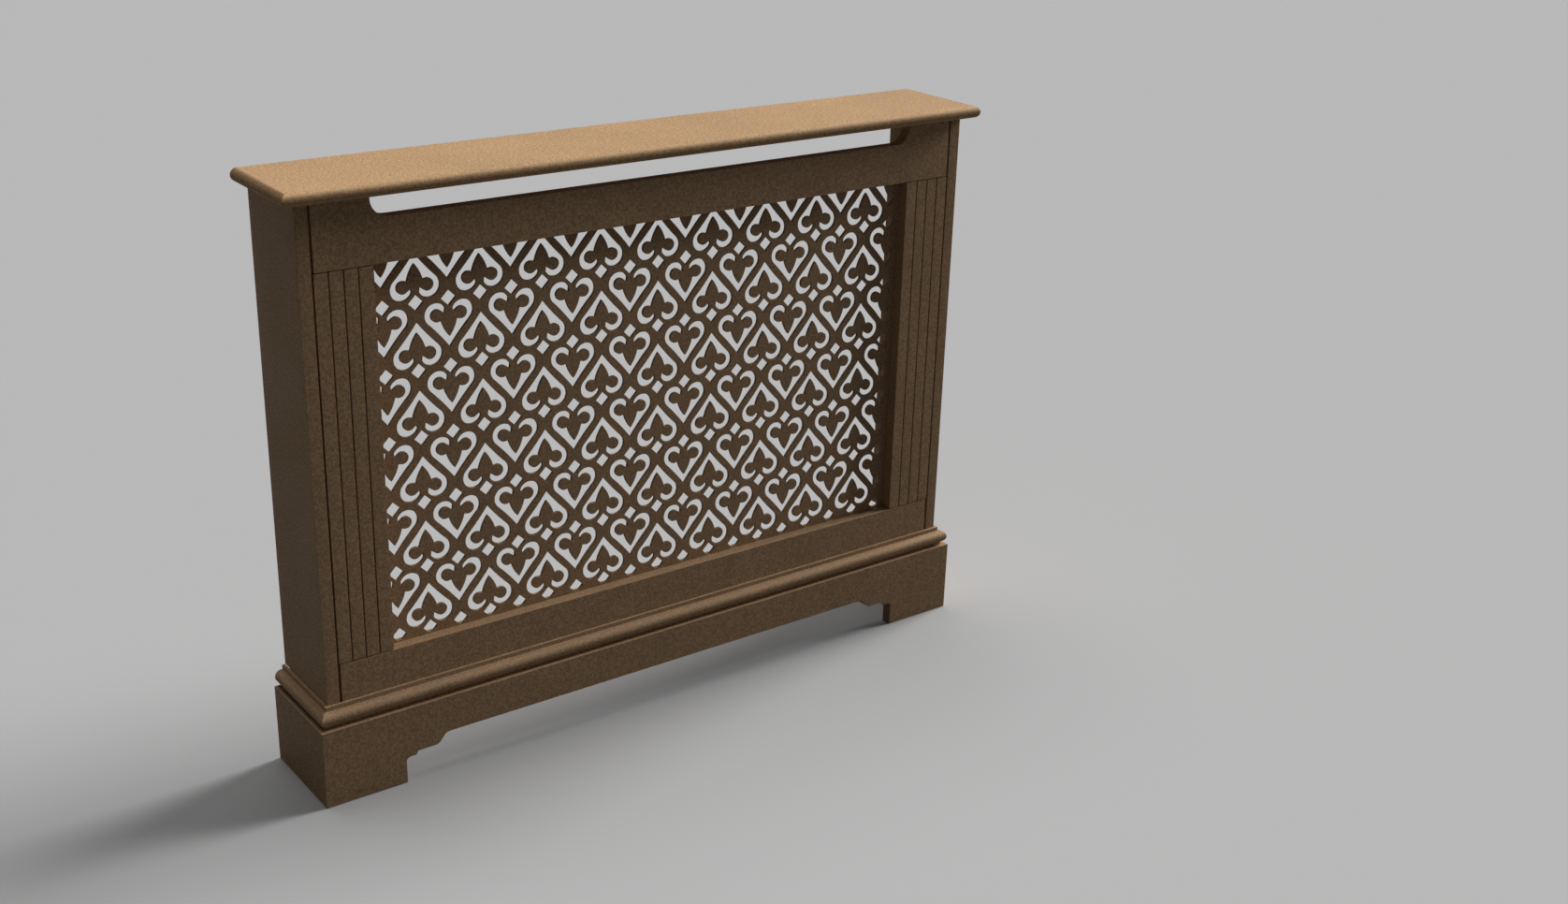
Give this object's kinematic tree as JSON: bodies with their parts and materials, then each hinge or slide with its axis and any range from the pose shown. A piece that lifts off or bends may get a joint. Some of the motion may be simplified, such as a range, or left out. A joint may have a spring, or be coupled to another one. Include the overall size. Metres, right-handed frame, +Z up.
{
  "type": "radiator cover cabinet",
  "caption": "Fibreboard cover with a rounded shelf, a pierced lattice front and an arched plinth, open at the back to stand over a wall radiator.",
  "frame": {"origin": "middle of the footprint at floor level, half way between the shelf's nose and the wall", "axes": "+Z up, -Y towards the room, +X to the right as seen from the room, +Y towards the wall"},
  "size_m": [1.1196, 0.1638, 0.85],
  "materials": {
    "shelf_board": "bare medium-density fibreboard, fine mottled speckle, sanded faces and routed edges",
    "board": "bare medium-density fibreboard, matte, with slightly darker cut edges",
    "grille_board": "thin bare fibreboard sheet, routed right through, darker cut walls",
    "batten": "planed softwood",
    "dowel": "smooth beech",
    "steel": "zinc-plated"
  },
  "bodies": {
    "root": {"bottom_rail": "board", "front_bead": "board", "front_plinth": "board", "grille_panel": "grille_board", "grille_strip_bottom": "batten", "grille_strip_left": "batten", "grille_strip_right": "batten", "grille_strip_top": "batten", "left_bead": "board", "left_corner_batten": "batten", "left_corner_batten_frame_screw_lower": "steel", "left_corner_batten_frame_screw_upper": "steel", "left_corner_batten_side_screw_lower": "steel", "left_corner_batten_side_screw_upper": "steel", "left_dowel_bottom_inner": "dowel", "left_dowel_bottom_outer": "dowel", "left_dowel_top_inner": "dowel", "left_dowel_top_outer": "dowel", "left_plinth": "board", "left_shelf_cleat": "batten", "left_shelf_cleat_screw_front": "steel", "left_shelf_cleat_screw_rear": "steel", "left_shelf_cleat_side_screw": "steel", "left_side_panel": "board", "left_stile": "board", "left_wall_bracket": "steel", "left_wall_bracket_screw_inner": "steel", "left_wall_bracket_screw_outer": "steel", "right_bead": "board", "right_corner_batten": "batten", "right_corner_batten_frame_screw_lower": "steel", "right_corner_batten_frame_screw_upper": "steel", "right_corner_batten_side_screw_lower": "steel", "right_corner_batten_side_screw_upper": "steel", "right_dowel_bottom_inner": "dowel", "right_dowel_bottom_outer": "dowel", "right_dowel_top_inner": "dowel", "right_dowel_top_outer": "dowel", "right_plinth": "board", "right_shelf_cleat": "batten", "right_shelf_cleat_screw_front": "steel", "right_shelf_cleat_screw_rear": "steel", "right_shelf_cleat_side_screw": "steel", "right_side_panel": "board", "right_stile": "board", "right_wall_bracket": "steel", "right_wall_bracket_screw_inner": "steel", "right_wall_bracket_screw_outer": "steel", "top_rail": "board", "top_shelf": "shelf_board"}
  },
  "joints": []
}
